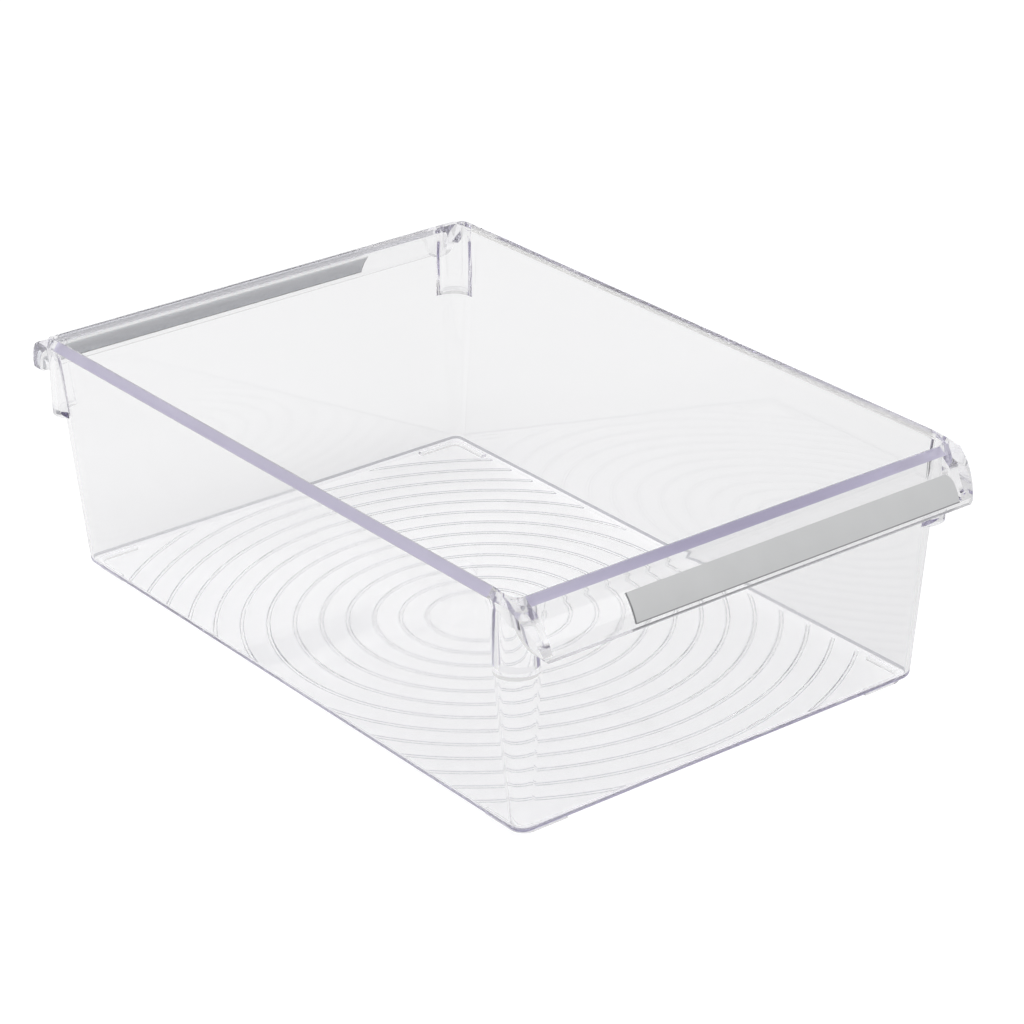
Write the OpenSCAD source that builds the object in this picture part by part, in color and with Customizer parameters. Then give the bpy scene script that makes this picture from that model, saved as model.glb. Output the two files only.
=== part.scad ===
// Clear open-topped storage bin with a pull hood at each short end.
// One moulded clear tub carries two soft grip pads, each seated in a pocket of its hood.
// X runs along the bin, Y across it, Z up; z = 0 is the surface that the feet stand on.

/* [Tub] */
// Height from the standing surface to the top of the long rims
tub_h = 102; // [80:1:160]
// Length over the rim, without the hoods
rim_l = 311.5; // [240:0.5:400]
// Width over the rim
rim_w = 212; // [160:0.5:300]
// Wall thickness
wall = 2.2; // [1.6:0.1:3]
// Floor thickness
floor_t = 2.2; // [1.6:0.1:3]
// Lean of the four walls from the vertical, in degrees
draft_angle = 5.2; // [3:0.1:6]
// Outer corner radius of the tub at its base
base_corner_r = 6; // [5:0.5:10]
// Outer radius between the walls and the floor
base_edge_r = 3.2; // [2.5:0.1:4]
// Inner radius between the walls and the floor
floor_edge_r = 1.4; // [0.8:0.1:1.6]

/* [Rim] */
// Height of the bead round the rim
bead_h = 3.4; // [2.5:0.1:5]
// How far the bead stands out from the wall
bead_out = 1; // [0.5:0.1:1.6]
// Width of the bevel along the bead's top outer edge
bevel_w = 2.7; // [1.5:0.1:2.8]
// Height of that bevel
bevel_h = 3.2; // [2:0.1:3.3]
// How much lower the rim of the short ends lies
end_drop = 1.7; // [1:0.1:3]

/* [Corner posts] */
// Outer radius of the upright post at each corner
post_r = 8.5; // [7:0.25:10]
// How far the posts reach down from the long rims
post_h = 33; // [26:1:50]

/* [Hoods] */
// Radius of the round curve in which a hood falls away from the rim
hood_r = 27; // [24:0.5:31]
// How far inside the end rim that curve starts
hood_start = 13.75; // [12:0.25:15.5]
// How far the hoods reach down from the long rims
hood_h = 20.6; // [18:0.2:22.6]
// Wall thickness of the hoods
hood_wall = 2.2; // [2:0.1:2.8]
// Lean of the two ends of a hood from the upright, in degrees
hood_end_angle = 18; // [12:1:21]
// How much higher than the lip the two ends of a hood stop
hood_end_rise = 1.2; // [1:0.1:3.5]
// Radius at the back lower corner of the ends, beside the posts
hood_end_r = 8; // [6:0.5:10]

/* [Grip pads] */
// Length of a pad
pad_l = 154.7; // [100:0.1:170]
// Clear strip of hood beyond the outer end of a pad
pad_end_gap = 6.3; // [5:0.1:20]
// Thickness of a pad
pad_t = 1.3; // [1:0.1:1.8]
// How deep a pad is let into its hood
pad_inlay = 0.9; // [0.6:0.1:1.2]
// Where a pad starts, in degrees down the curve of the hood
pad_top_angle = 47; // [40:0.5:55]
// Clear strip of hood below a pad
pad_lip_gap = 2.3; // [1.5:0.1:4]
// Corner radius at the outer end of a pad
pad_corner_r = 4.5; // [2:0.5:5.5]
// Gap round a pad in its pocket
pad_clearance = 0.15; // [0.1:0.05:0.4]

/* [Floor rings] */
// Number of rings moulded under the floor
ring_count = 13; // [4:1:13]
// Radius of the innermost ring
ring_first_r = 22.2; // [16:0.2:24]
// Distance from ring to ring
ring_pitch = 10.5; // [7:0.1:11]
// Width of a ring at its root
ring_w = 1.7; // [1.2:0.1:2.4]
// How far a ring stands down from the floor
ring_h = 0.6; // [0.4:0.1:0.9]

/* [Feet] */
// Height of the corner feet
foot_h = 1.3; // [1:0.1:2]
// Width of a foot
foot_w = 2.4; // [1.8:0.1:3.2]
// Length of each leg of a foot
foot_leg = 15; // [10:1:24]
// Distance from the base outline to a foot
foot_inset = 2.6; // [2.6:0.1:5]

/* [Hidden] */
$fn = 96;
eps = 0.01;
lean = tan(draft_angle);

// Lengths are kept to whole microns, so that faces built in different places meet exactly
function snap(v) = round(v * 1000) / 1000;
blend = 0.002;

// Upright levels
base_z = foot_h;
floor_z = base_z + floor_t;
wall_top_z = tub_h - bead_h;
bevel_z = tub_h - bevel_h;
end_rim_z = tub_h - end_drop;

// Half sizes in plan
rim_x = rim_l / 2;
rim_y = rim_w / 2;
top_x = rim_x - bead_out;
top_y = rim_y - bead_out;
base_x = top_x - rise(wall_top_z - base_z);
base_y = top_y - rise(wall_top_z - base_z);
wall_slant = snap(wall / cos(draft_angle));
inner_x = base_x + rise(floor_t) - wall_slant;
inner_y = base_y + rise(floor_t) - wall_slant;
mouth_x = inner_x + rise(wall_top_z - floor_z);
mouth_y = inner_y + rise(wall_top_z - floor_z);
post_x = top_x - post_r;
post_y = top_y - post_r;
post_bore_r = mouth_x - post_x;
post_ledge_z = tub_h - post_h;
bead_corner_r = post_r + bead_out;

// Hoods: one round arc that starts level with the top of the long rims
hood_cx = rim_x - hood_start;
hood_cz = tub_h - hood_r + blend;
hood_x = hood_cx + hood_r;
hood_lip_z = tub_h - hood_h;
hood_end_z = hood_lip_z + hood_end_rise;
hood_root_x = base_x - wall;
hood_valley_z = snap(hood_cz + sqrt(hood_r * hood_r - hood_start * hood_start));

// Pads
pad_bottom_z = hood_lip_z + pad_lip_gap;
pad_top_z = snap(hood_cz + hood_r * cos(pad_top_angle));
pad_end_y = hood_end_y(hood_lip_z) - pad_end_gap;

// How far a drafted wall moves outwards over the height h
function rise(h) = snap(lean * h);

// Half width of a hood at the height z
function hood_end_y(z) = rim_y - snap((wall_top_z - z) * tan(hood_end_angle));

// Section of a drafted block that starts at height z, half wide there, with rounded lower edges
module drafted_section(half, z, edge_r, top_z) {
    centre = half + snap(edge_r * (lean - 1 / cos(draft_angle))) + blend;
    tangent_x = half + snap(edge_r * (lean - 1 / cos(draft_angle) + cos(draft_angle)));
    tangent_z = z + snap(edge_r * (1 - sin(draft_angle)));
    top_half = half + rise(top_z - z);
    polygon([[-tangent_x, tangent_z], [tangent_x, tangent_z], [top_half, top_z], [-top_half, top_z]]);
    translate([-centre, z]) square([2 * centre, edge_r]);
    for (side = [-1, 1]) translate([side * centre, z + edge_r]) circle(r = edge_r);
}

// Extrudes a section that lies in XZ along Y, over the length 2 * half
module along_y(half) {
    translate([0, half, 0]) rotate([90, 0, 0]) linear_extrude(2 * half) children();
}

// Drafted block with rounded upright corners that widen towards the top
module drafted_block(half_x, half_y, corner_r, z, edge_r, top_z) {
    along_y(half_y - corner_r) drafted_section(half_x, z, edge_r, top_z);
    rotate([0, 0, 90]) along_y(half_x - corner_r) drafted_section(half_y, z, edge_r, top_z);
    for (sx = [-1, 1], sy = [-1, 1])
        translate([sx * (half_x - corner_r), sy * (half_y - corner_r), 0])
            rotate_extrude()
                intersection() {
                    drafted_section(corner_r, z, edge_r, top_z);
                    square([top_z, top_z]);
                }
}

// Rectangle with round corners, centred
module rounded_rect(half_x, half_y, r) {
    square([2 * (half_x - r), 2 * half_y], center = true);
    square([2 * half_x, 2 * (half_y - r)], center = true);
    for (sx = [-1, 1], sy = [-1, 1])
        translate([sx * (half_x - r), sy * (half_y - r)]) circle(r = r);
}

// The same thing at all four corners
module at_corners(x, y) {
    for (sx = [-1, 1], sy = [-1, 1]) translate([sx * x, sy * y, 0]) children();
}

// The same thing at both short ends, turned half round for the rear
module at_ends() {
    for (turn = [0, 180]) rotate([0, 0, turn]) children();
}

// Section of the bevelled bead, half wide
module bead_section(half) {
    polygon([
        [-half, wall_top_z], [half, wall_top_z], [half, bevel_z], [half - bevel_w, tub_h],
        [bevel_w - half, tub_h], [-half, bevel_z]
    ]);
}

// Solid block with the bead's outline and bevel
module bead_block() {
    along_y(post_y) bead_section(rim_x);
    rotate([0, 0, 90]) along_y(post_x) bead_section(rim_y);
    at_corners(post_x, post_y)
        rotate_extrude()
            intersection() {
                bead_section(bead_corner_r);
                square([tub_h, tub_h]);
            }
}

// Foot of the bead at the short ends, where it reaches down to the hoods
module bead_foot() {
    intersection() {
        translate([0, 0, wall_top_z - end_drop])
            linear_extrude(bevel_z + end_drop - wall_top_z) rounded_rect(rim_x, rim_y, bead_corner_r);
        at_ends() translate([top_x - wall / 2, -rim_y, 0]) cube([wall, rim_w, tub_h]);
    }
}

// Extrudes a section that lies in YZ outwards along X, from the root of the hoods
module along_x() {
    translate([hood_root_x, 0, 0]) rotate([90, 0, 90]) linear_extrude(hood_x) children();
}

// Everything above the shoulders, and above the lowered rims of the short ends, which slope outwards
module end_rim_cut() {
    low_z = hood_valley_z - 0.1;
    at_ends()
        along_y(rim_y + eps) {
            difference() {
                translate([hood_cx, end_rim_z]) square([rim_x, tub_h]);
                translate([hood_cx, hood_cz]) circle(r = hood_r);
            }
            polygon([
                [rim_x - bevel_w, end_rim_z], [rim_x, low_z], [hood_x, low_z], [hood_x, tub_h],
                [rim_x - bevel_w, tub_h]
            ]);
        }
}

// Profile of a hood in XZ, drawn in by inset, down to the height foot_z
module hood_profile(inset, foot_z) {
    intersection() {
        translate([hood_cx, hood_cz]) circle(r = hood_r - inset);
        translate([hood_root_x, foot_z]) square([hood_x, tub_h]);
    }
}

// Outside of a hood: its ends lean inwards below the bead, and the lip has cut corners
module hood_outside() {
    end_y = hood_end_y(hood_end_z);
    lip_y = end_y - hood_end_rise;
    intersection() {
        along_y(rim_y) hood_profile(0, hood_lip_z - 1);
        along_x()
            polygon([
                [bevel_w - rim_y, tub_h], [rim_y - bevel_w, tub_h], [rim_y, bevel_z],
                [rim_y, wall_top_z], [end_y, hood_end_z], [lip_y, hood_lip_z],
                [-lip_y, hood_lip_z], [-end_y, hood_end_z], [-rim_y, wall_top_z], [-rim_y, bevel_z]
            ]);
    }
}

// Hollow of a hood, open downwards, between two solid ends
module hood_inside() {
    along_y(post_y) hood_profile(hood_wall, hood_lip_z - 1);
    along_y(rim_y)
        intersection() {
            hood_profile(hood_wall, hood_lip_z - 1);
            hood_end_foot();
        }
}

// What is open under the ends of a hood: all below them, and a round corner beside the posts
module hood_end_foot() {
    corner_x = top_x + hood_end_r;
    translate([hood_root_x, 0]) square([hood_x, hood_end_z]);
    difference() {
        translate([hood_root_x, 0]) square([corner_x - hood_root_x, hood_end_z + hood_end_r]);
        translate([corner_x, hood_end_z + hood_end_r - blend]) circle(r = hood_end_r);
    }
}

// Strip of the hood face between two depths, from the pad's top edge down to foot_z
module face_strip(outer_inset, inner_inset, foot_z) {
    difference() {
        hood_profile(outer_inset, foot_z);
        hood_profile(inner_inset, foot_z - 1);
        translate([hood_cx, hood_cz])
            polygon([
                [0, 0], [-hood_x, 0], [-hood_x, hood_x], [0, hood_x],
                [hood_x * tan(pad_top_angle), hood_x]
            ]);
    }
}

// Outline of a pad seen from the front, wider by grow on every side
module pad_outline(grow) {
    low = pad_bottom_z - grow;
    high = pad_top_z + grow + 1;
    start = pad_end_y - pad_l - grow;
    end = pad_end_y + grow;
    r = pad_corner_r + grow;
    translate([start, low]) square([end - start - r, high - low]);
    translate([start, low]) square([end - start, high - low - r]);
    translate([end - r, high - r]) circle(r = r);
}

module pad_pocket() {
    intersection() {
        along_y(rim_y) face_strip(-1, pad_inlay, hood_lip_z - 1);
        along_x() pad_outline(pad_clearance);
    }
}

module hood_shell() {
    difference() {
        hood_outside();
        hood_inside();
        pad_pocket();
    }
}

module floor_rings() {
    clip_x = base_x - base_edge_r - 2;
    clip_y = base_y - base_edge_r - 1;
    top_w = ring_w / 2;
    intersection() {
        for (i = [0 : ring_count - 1])
            rotate_extrude()
                translate([ring_first_r + i * ring_pitch, 0])
                    polygon([
                        [-ring_w / 2, base_z + eps], [-top_w / 2, base_z - ring_h],
                        [top_w / 2, base_z - ring_h], [ring_w / 2, base_z + eps]
                    ]);
        translate([-clip_x, -clip_y, 0]) cube([2 * clip_x, 2 * clip_y, floor_z]);
    }
}

// One corner foot: a quarter ring between two short legs
module foot() {
    outer_r = base_corner_r;
    linear_extrude(foot_h + eps) {
        intersection() {
            difference() {
                circle(r = outer_r);
                circle(r = outer_r - foot_w);
            }
            square(outer_r);
        }
        translate([outer_r - foot_w, -foot_leg]) square([foot_w, foot_leg]);
        translate([-foot_leg, outer_r - foot_w]) square([foot_leg, foot_w]);
    }
}

module feet() {
    x = base_x - foot_inset - base_corner_r;
    y = base_y - foot_inset - base_corner_r;
    for (sx = [0, 1], sy = [0, 1])
        mirror([sx, 0, 0]) mirror([0, sy, 0]) translate([x, y, 0]) foot();
}

module tub_outside() {
    drafted_block(base_x, base_y, base_corner_r, base_z, base_edge_r, wall_top_z + eps);
    at_corners(post_x, post_y)
        translate([0, 0, post_ledge_z]) cylinder(h = wall_top_z + eps - post_ledge_z, r = post_r);
    difference() {
        union() {
            bead_block();
            bead_foot();
        }
        end_rim_cut();
    }
}

module tub_inside() {
    drafted_block(inner_x, inner_y, base_corner_r - wall, floor_z, floor_edge_r, wall_top_z);
    translate([0, 0, wall_top_z])
        linear_extrude(bead_h + 1) rounded_rect(mouth_x, mouth_y, post_bore_r);
    at_corners(post_x, post_y)
        translate([0, 0, post_ledge_z + wall])
            cylinder(h = wall_top_z - post_ledge_z, r = post_bore_r);
}

module tub() {
    color("lavender", 0.35) {
        difference() {
            union() {
                tub_outside();
                at_ends() hood_shell();
                feet();
            }
            tub_inside();
        }
        floor_rings();
    }
}

module grip_pad() {
    intersection() {
        along_y(rim_y) face_strip(pad_inlay - pad_t, pad_inlay, pad_bottom_z);
        along_x() pad_outline(0);
    }
}

module front_grip_pad() {
    color("silver") grip_pad();
}

module rear_grip_pad() {
    color("silver") rotate([0, 0, 180]) grip_pad();
}

tub();
front_grip_pad();
rear_grip_pad();
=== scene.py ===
# Looks for the clear storage bin: camera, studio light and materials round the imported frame.
import math

import bpy
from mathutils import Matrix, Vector

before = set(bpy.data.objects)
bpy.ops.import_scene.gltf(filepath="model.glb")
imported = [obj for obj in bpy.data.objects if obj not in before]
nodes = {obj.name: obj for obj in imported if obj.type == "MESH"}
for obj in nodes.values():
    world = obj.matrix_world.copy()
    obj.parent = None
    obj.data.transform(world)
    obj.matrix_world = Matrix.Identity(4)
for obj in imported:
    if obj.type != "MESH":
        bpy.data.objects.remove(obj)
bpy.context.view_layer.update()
scene = bpy.context.scene

# Places on the bin, in metres in the frame of the part
CORNER_X, CORNER_Y = 0.1425, 0.0975  # the corners of the rim lie beyond both
LONG_BEAD_Y = 0.1015  # the beads of the long walls lie beyond it
HOOD_X, HOOD_Z = 0.142, 0.075  # axis of the round of a hood
PAD_BACK_R = 0.0272  # the back of a pad lies nearer to that axis; it gets painted light
PAD_LOW_Z, PAD_INNER_Y = 0.0841, -0.0603  # lower edge and inner end of a pad, which get painted shade
PAD_ROOM = 0.00003  # room behind a pad
FOOTPRINT_X, FOOTPRINT_Y = 0.146, 0.096  # half the sides of the patch of floor under the bin, painted with a brighter glow
FLOOR_END_X = 0.15  # the painted glow of the floor changes evenly from one end of the bin to the other

# ---------------------------------------------------------------- node helpers
def new_material(name):
    """An empty node material with its output, as (material, tree, output)."""
    mat = bpy.data.materials.new(name)
    mat.use_nodes = True
    tree = mat.node_tree
    tree.nodes.clear()
    return mat, tree, tree.nodes.new("ShaderNodeOutputMaterial")


def add(tree, kind, **values):
    """A node with its sockets set by name, where _ stands for a space."""
    node = tree.nodes.new("ShaderNode" + kind)
    for key, value in values.items():
        node.inputs[key.replace("_", " ")].default_value = value
    return node


def noise(tree, coords, scale, detail=2.0, roughness=0.5):
    node = add(tree, "TexNoise", Scale=scale, Detail=detail, Roughness=roughness)
    tree.links.new(coords.outputs["Object"], node.inputs["Vector"])
    return node.outputs["Fac"]


def remap(tree, socket, low, high, start=0.3, end=0.7):
    node = add(tree, "MapRange", From_Min=start, From_Max=end, To_Min=low, To_Max=high)
    tree.links.new(socket, node.inputs["Value"])
    return node.outputs["Result"]


def mix_colour(tree, factor, first, second):
    """Mixes two colours by a factor; each is a socket or four numbers."""
    node = tree.nodes.new("ShaderNodeMix")
    node.data_type = "RGBA"
    tree.links.new(factor, node.inputs["Factor"])
    for name, value in (("A", first), ("B", second)):
        if isinstance(value, tuple):
            node.inputs[name].default_value = value
        else:
            tree.links.new(value, node.inputs[name])
    return node.outputs["Result"]


def bump(tree, height, strength, distance):
    node = add(tree, "Bump", Strength=strength, Distance=distance)
    tree.links.new(height, node.inputs["Height"])
    return node.outputs["Normal"]


def let_through(tree, shader, out, tint):
    """Lets the lamps' light pass the clear shader, tinted once for each face that it crosses."""
    clear = add(tree, "BsdfTransparent", Color=tint)
    path = add(tree, "LightPath")
    mix = tree.nodes.new("ShaderNodeMixShader")
    tree.links.new(path.outputs["Is Shadow Ray"], mix.inputs["Fac"])
    tree.links.new(shader.outputs["BSDF"], mix.inputs[1])
    tree.links.new(clear.outputs["BSDF"], mix.inputs[2])
    tree.links.new(mix.outputs["Shader"], out.inputs["Surface"])


def math_node(tree, operation, first, second=None):
    """A math node's value; each of the two operands is a socket or a number."""
    node = tree.nodes.new("ShaderNodeMath")
    node.operation = operation
    for i, value in enumerate((first, second)):
        if isinstance(value, (int, float)):
            node.inputs[i].default_value = value
        elif value is not None:
            tree.links.new(value, node.inputs[i])
    return node.outputs["Value"]


def between(tree, value, low, high):
    """1 where the value lies between low and high, 0 elsewhere."""
    inside = math_node(tree, "COMPARE", value, (low + high) / 2)
    inside.node.inputs[2].default_value = (high - low) / 2
    return inside


# ---------------------------------------------------------------- materials
def slope_mask(tree, coords, side, heights, slopes):
    """The side mask, kept only in a range of heights, on faces that lean by a range of slopes."""
    place = add(tree, "SeparateXYZ")
    tree.links.new(coords.outputs["Object"], place.inputs["Vector"])
    facing = add(tree, "SeparateXYZ")
    tree.links.new(add(tree, "NewGeometry").outputs["True Normal"], facing.inputs["Vector"])
    lean = math_node(tree, "ABSOLUTE", facing.outputs["Z"])
    low = math_node(tree, "MULTIPLY", side, between(tree, place.outputs["Z"], *heights))
    return math_node(tree, "MULTIPLY", low, between(tree, lean, *slopes))


def clear_plastic():
    """Polished clear plastic: faint flow waves and a haze of handling, with painted lavender shade
    in thick edges and painted grey shade and white highlights at a few other places.
    """
    mat, tree, out = new_material("clear_plastic")
    coords = add(tree, "TexCoord")
    shader = add(
        tree, "BsdfPrincipled",
        Base_Color=(0.985, 0.985, 0.99, 1), Metallic=0.0, IOR=1.57, Transmission_Weight=1.0,
    )
    inside = add(tree, "NewGeometry").outputs["Backfacing"]
    outside = math_node(tree, "SUBTRACT", 1.0, inside)
    place = add(tree, "SeparateXYZ")
    tree.links.new(coords.outputs["Object"], place.inputs["Vector"])
    along = math_node(tree, "ABSOLUTE", place.outputs["X"])
    across = math_node(tree, "ABSOLUTE", place.outputs["Y"])
    corner = math_node(
        tree, "MULTIPLY", math_node(tree, "GREATER_THAN", along, CORNER_X),
        math_node(tree, "GREATER_THAN", across, CORNER_Y))
    bands = math_node(
        tree, "MULTIPLY", outside, remap(tree, corner, 1.0, 0.2, 0.0, 1.0))
    long_rims = math_node(
        tree, "MULTIPLY", inside, math_node(
            tree, "MULTIPLY", math_node(tree, "GREATER_THAN", across, LONG_BEAD_Y),
            math_node(tree, "LESS_THAN", along, CORNER_X)))
    # Painted lavender shade for the thick edges, paler towards the long walls
    lavender = mix_colour(
        tree, remap(tree, across, 0.0, 1.0, 0.03, 0.095),
        (0.44, 0.41, 0.57, 1), (0.57, 0.54, 0.69, 1))
    tint, painted_cover = (0.985, 0.985, 0.985, 1), 0.0
    # Each zone of painted light or shade: which faces, heights, slopes as the upright part of the
    # normal, painted colour, and how far that colour covers the clear plastic
    painted_light_zones = (
        # bevel of the bead: painted lavender shade, where light is trapped in the thick plastic
        (bands, (0.0981, 0.1021), (0.585, 0.825), lavender, 0.72),
        # beads of the long walls, seen from inside the plastic: painted pale light
        (long_rims, (0.0981, 0.1021), (0.0, 0.825), (1, 0.99, 0.975, 1), 0.5),
        # start of the round of the hoods, next to the bevel: painted lavender shade
        (bands, (0.0978, 0.0988), (0.83, 0.885), lavender, 0.72),
        # edge of the floor: painted grey shade
        (outside, (0.0035, 0.0047), (0.25, 0.9), (0.5, 0.5, 0.54, 1), 0.35),
        # foot of the walls: painted lavender shade
        (outside, (0.00135, 0.0036), (0.3, 0.8), (0.45, 0.42, 0.6, 1), 0.5),
        # flanks of the rings: painted grey shade, which draws their refraction lines
        (inside, (0.0006, 0.0013), (0.5, 0.66), (0.6, 0.6, 0.66, 1), 0.2),
        # underside of a lip: painted grey shade
        (inside, (0.0813, 0.0815), (0.97, 1.03), (0.55, 0.55, 0.58, 1), 0.35),
        # ledge of a post: painted white highlight
        (outside, (0.0710, 0.0714), (0.97, 1.03), (0.97, 0.97, 0.98, 1), 1.0),
    )
    for side, heights, slopes, colour, strength in painted_light_zones:
        mask = slope_mask(tree, coords, side, heights, slopes)
        tint = mix_colour(tree, mask, tint, colour)
        painted_cover = math_node(tree, "ADD", math_node(tree, "MULTIPLY", mask, strength), painted_cover)
    # The painted light and shade go into the base colour and take the place of the clear
    # transmission where they cover
    tree.links.new(tint, shader.inputs["Base Color"])
    tree.links.new(remap(tree, painted_cover, 1.0, 0.1, 0.0, 1.0), shader.inputs["Transmission Weight"])
    haze = remap(tree, noise(tree, coords, 14.0, 4.0, 0.6), 0.012, 0.045)
    tree.links.new(haze, shader.inputs["Roughness"])
    waves = bump(tree, noise(tree, coords, 22.0, 1.0), 0.12, 0.0006)
    tree.links.new(waves, shader.inputs["Normal"])
    let_through(tree, shader, out, (0.97, 0.97, 0.975, 1))
    body = tree.nodes.new("ShaderNodeVolumeAbsorption")
    body.inputs["Color"].default_value = (0.24, 0.15, 0.52, 1)
    body.inputs["Density"].default_value = 1.8
    tree.links.new(body.outputs["Volume"], out.inputs["Volume"])
    return mat


def pad_masks(tree, coords):
    """Two masks: 1 on the back of a pad, which lies in its pocket and is painted light, and 1 on
    its thin edges, which are painted dark as shade.
    """
    flat = add(tree, "Mapping", Location=(0, 0, -HOOD_Z), Scale=(1, 0, 1))
    tree.links.new(coords.outputs["Object"], flat.inputs["Vector"])
    turn = add(tree, "SeparateXYZ")
    tree.links.new(flat.outputs["Vector"], turn.inputs["Vector"])
    end = math_node(tree, "MULTIPLY", math_node(tree, "SIGN", turn.outputs["X"]), HOOD_X)
    centre = add(tree, "CombineXYZ")
    tree.links.new(end, centre.inputs["X"])
    spoke = add(tree, "VectorMath")
    spoke.operation = "SUBTRACT"
    tree.links.new(flat.outputs["Vector"], spoke.inputs[0])
    tree.links.new(centre.outputs["Vector"], spoke.inputs[1])
    reach = add(tree, "VectorMath")
    reach.operation = "LENGTH"
    tree.links.new(spoke.outputs["Vector"], reach.inputs[0])
    back = math_node(tree, "LESS_THAN", reach.outputs["Value"], PAD_BACK_R)
    place = add(tree, "SeparateXYZ")
    tree.links.new(coords.outputs["Object"], place.inputs["Vector"])
    side = math_node(tree, "SIGN", place.outputs["X"])
    low = math_node(tree, "LESS_THAN", place.outputs["Z"], PAD_LOW_Z)
    inner = math_node(
        tree, "LESS_THAN", math_node(tree, "MULTIPLY", place.outputs["Y"], side), PAD_INNER_Y)
    return back, math_node(tree, "MAXIMUM", low, inner)


def grip_rubber():
    """Matt silver-grey soft grip with a fine satin grain; its hidden back is painted near-white as
    painted light, and its lower edge and inner end are painted dark as painted shade.
    """
    mat, tree, out = new_material("grip_rubber")
    coords = add(tree, "TexCoord")
    shader = add(tree, "BsdfPrincipled", Metallic=0.0, IOR=1.5, Sheen_Weight=0.08)
    mottle = mix_colour(
        tree, remap(tree, noise(tree, coords, 90.0, 3.0), 0.0, 1.0),
        (0.60, 0.605, 0.61, 1), (0.62, 0.625, 0.63, 1))
    back, edges = pad_masks(tree, coords)
    # Painted light: the back of a pad, seen through its hood, is lightened to near-white and
    # bluish
    shade = mix_colour(tree, back, mottle, (0.92, 0.94, 1.0, 1))
    # Painted shade: the lower edge and inner end of a pad are darkened
    tree.links.new(
        mix_colour(tree, edges, shade, (0.27, 0.27, 0.28, 1)), shader.inputs["Base Color"])
    tree.links.new(
        remap(tree, noise(tree, coords, 60.0, 3.0), 0.42, 0.56), shader.inputs["Roughness"])
    grain = bump(tree, noise(tree, coords, 1500.0, 2.0), 0.25, 0.0002)
    tree.links.new(grain, shader.inputs["Normal"])
    tree.links.new(shader.outputs["BSDF"], out.inputs["Surface"])
    return mat


def studio_floor():
    """White floor: plain to the camera, with its shadow. Seen through the plastic it is a little
    darker, with a painted glow that is brighter under the bin and changes from one end to the
    other.
    """
    mat, tree, out = new_material("studio_floor")
    diffuse = add(tree, "BsdfDiffuse", Color=(0.86, 0.86, 0.865, 1))
    glow = add(tree, "Emission", Color=(1, 1, 1, 1))
    path = add(tree, "LightPath")
    through = math_node(
        tree, "MAXIMUM", path.outputs["Is Glossy Ray"], path.outputs["Is Transmission Ray"])
    place = add(tree, "SeparateXYZ")
    tree.links.new(add(tree, "TexCoord").outputs["Object"], place.inputs["Vector"])
    # Painted light: seen through or in the plastic, the patch of floor under the bin glows
    # brighter than the floor beside it, and the glow changes from one end of the bin to the other
    under = math_node(
        tree, "MULTIPLY", between(tree, place.outputs["X"], -FOOTPRINT_X, FOOTPRINT_X),
        between(tree, place.outputs["Y"], -FOOTPRINT_Y, FOOTPRINT_Y))
    beside = remap(tree, place.outputs["X"], 0.11, 0.015, -FLOOR_END_X, FLOOR_END_X)
    beneath = remap(tree, place.outputs["X"], 0.29, 0.24, -FLOOR_END_X, FLOOR_END_X)
    level = tree.nodes.new("ShaderNodeMix")
    tree.links.new(under, level.inputs["Factor"])
    tree.links.new(beside, level.inputs["A"])
    tree.links.new(beneath, level.inputs["B"])
    seen = math_node(tree, "MULTIPLY", through, level.outputs["Result"])
    straight = math_node(tree, "MULTIPLY", path.outputs["Is Camera Ray"], 0.3)
    tree.links.new(math_node(tree, "ADD", straight, seen), glow.inputs["Strength"])
    both = tree.nodes.new("ShaderNodeAddShader")
    tree.links.new(diffuse.outputs["BSDF"], both.inputs[0])
    tree.links.new(glow.outputs["Emission"], both.inputs[1])
    tree.links.new(both.outputs["Shader"], out.inputs["Surface"])
    return mat


def dress(obj, mat):
    """Gives every slot of a piece the one material."""
    for slot in obj.material_slots:
        slot.material = mat


plastic = clear_plastic()
rubber = grip_rubber()
dress(nodes["tub"], plastic)
dress(nodes["front_grip_pad"], rubber)
dress(nodes["rear_grip_pad"], rubber)
for name in ("front_grip_pad", "rear_grip_pad"):
    # Keeps the back of the pad off the floor of its pocket, where the faces would coincide
    seat = nodes[name].modifiers.new("seat", "DISPLACE")
    seat.strength, seat.mid_level = -PAD_ROOM, 0.0


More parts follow.
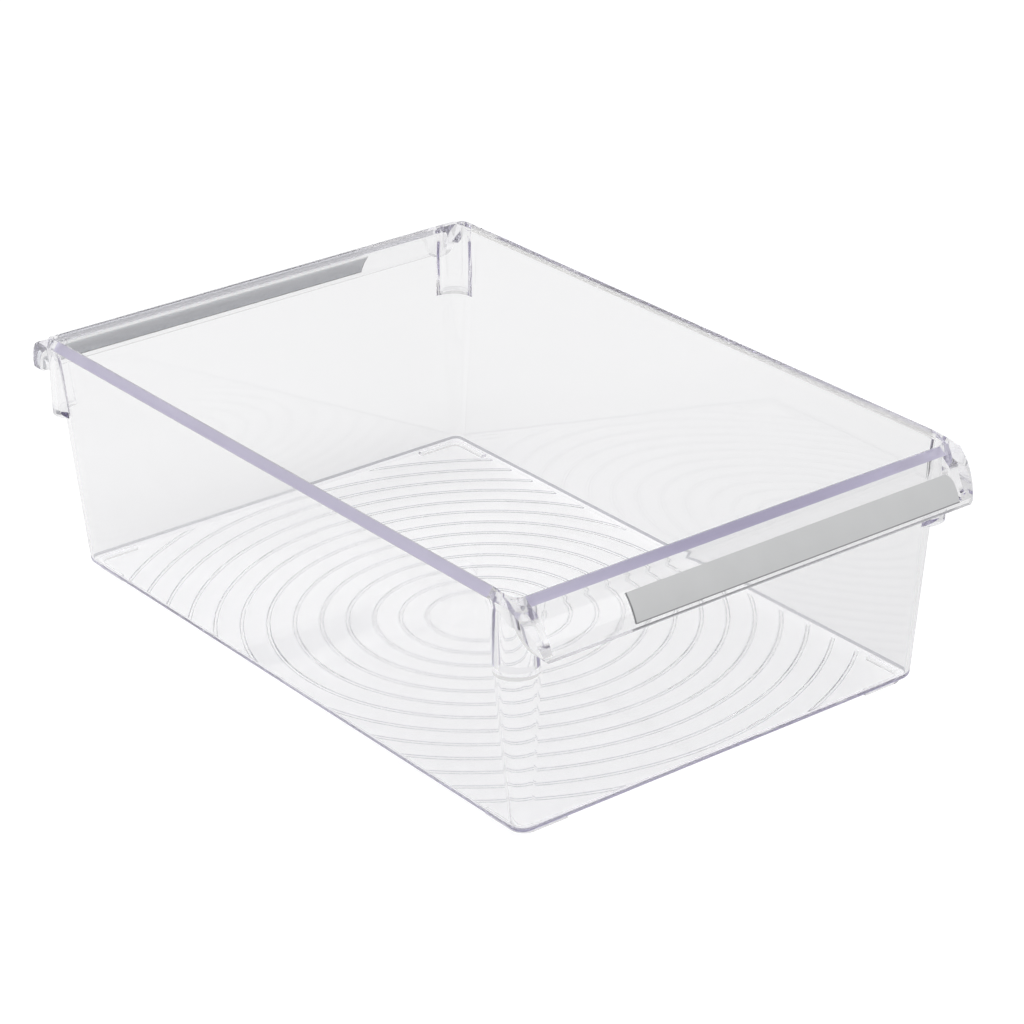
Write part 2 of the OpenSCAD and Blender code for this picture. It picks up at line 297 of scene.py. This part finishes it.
# ---------------------------------------------------------------- studio
def make_floor():
    half = 12.0
    mesh = bpy.data.meshes.new("studio_floor")
    corners = [(-half, -half, 0), (half, -half, 0), (half, half, 0), (-half, half, 0)]
    mesh.from_pydata(corners, [], [(0, 1, 2, 3)])
    floor = bpy.data.objects.new("studio_floor", mesh)
    floor.location.z = -0.0002
    mesh.materials.append(studio_floor())
    scene.collection.objects.link(floor)


def make_world():
    """Even white room for the camera, a softer grey one for everything else."""
    world = bpy.data.worlds.new("studio")
    scene.world = world
    world.use_nodes = True
    tree = world.node_tree
    tree.nodes.clear()
    out = tree.nodes.new("ShaderNodeOutputWorld")
    path = add(tree, "LightPath")
    level = add(tree, "MapRange", To_Min=0.72, To_Max=1.0)
    tree.links.new(path.outputs["Is Camera Ray"], level.inputs["Value"])
    back = add(tree, "Background", Color=(1, 1, 1, 1))
    tree.links.new(level.outputs["Result"], back.inputs["Strength"])
    tree.links.new(back.outputs["Background"], out.inputs["Surface"])


def area_light(name, place, target, size, power):
    """A lamp that draws no image of itself through the plastic."""
    data = bpy.data.lights.new(name, "AREA")
    data.shape = "RECTANGLE"
    data.size, data.size_y = size
    data.energy = power
    lamp = bpy.data.objects.new(name, data)
    lamp.location = place
    aim = Vector(target) - Vector(place)
    lamp.rotation_euler = aim.to_track_quat("-Z", "Y").to_euler()
    lamp.visible_transmission = False
    scene.collection.objects.link(lamp)


def make_camera():
    """Viewing angle of the photograph: a long lens, 25 degrees above the horizon."""
    data = bpy.data.cameras.new("camera")
    data.sensor_width = 36.0
    data.lens = 125.3265
    camera = bpy.data.objects.new("camera", data)
    camera.rotation_euler = [math.radians(a) for a in (64.73778, 0.96965, 52.24532)]
    camera.location = (1.01443, -0.75854, 0.64470)
    scene.collection.objects.link(camera)
    scene.camera = camera


make_floor()
make_world()
area_light("key", (-0.6, -1.2, 1.8), (0, 0, 0.05), (1.6, 1.2), 14)
area_light("fill", (1.8, 0.9, 1.3), (0, 0, 0.05), (1.2, 1.2), 6)
make_camera()
scene.view_settings.view_transform = "Standard"
# Light runs inside the thin walls for dozens of reflections before it leaves at an edge
scene.cycles.max_bounces = scene.cycles.glossy_bounces = scene.cycles.transmission_bounces = 128
scene.cycles.transparent_max_bounces = 32
